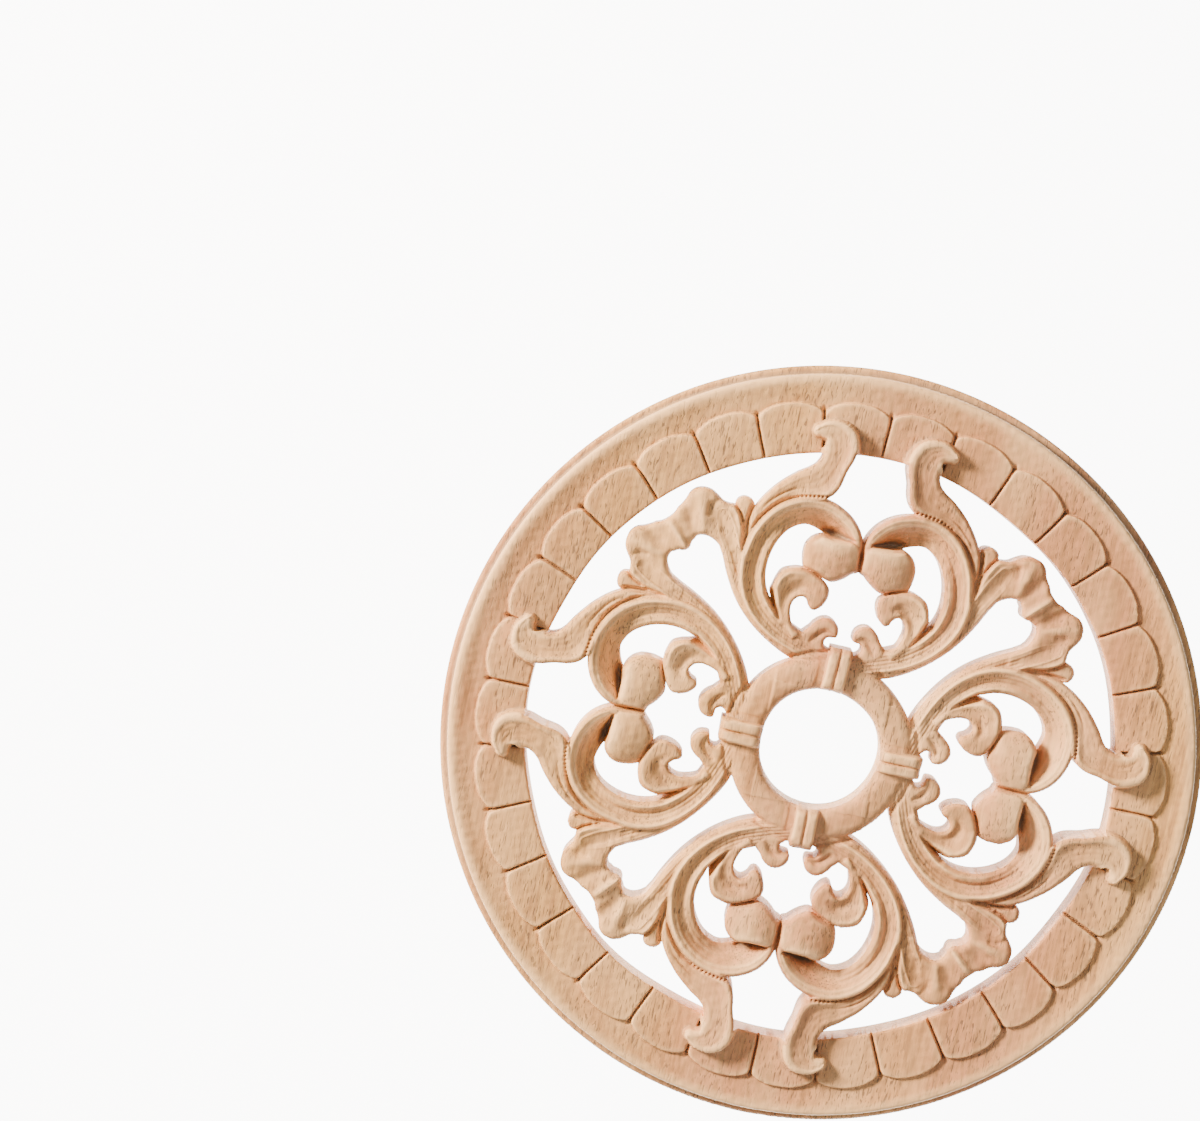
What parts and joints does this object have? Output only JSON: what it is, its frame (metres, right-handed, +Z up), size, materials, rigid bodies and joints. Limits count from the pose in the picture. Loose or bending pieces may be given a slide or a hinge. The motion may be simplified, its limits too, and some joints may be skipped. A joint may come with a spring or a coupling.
{
  "type": "carved wooden rosette",
  "caption": "Round pierced wooden rosette: a frame of overlapping tongues around mirrored leaf scrolls that spring from a clasped ring, flat at the back.",
  "frame": {"origin": "centre of the flat back, which is fixed to a wall, door or panel", "axes": "+Y out of the back towards the wall, so the carving faces -Y; +Z up along the axis of one pair of scrolls; +X to the right seen from the front"},
  "size_m": [0.3, 0.0197, 0.3],
  "materials": {
    "bare_wood": "bare sanded hardwood, open pored, matt"
  },
  "bodies": {
    "root": {"carved_rosette": "bare_wood"}
  },
  "joints": []
}
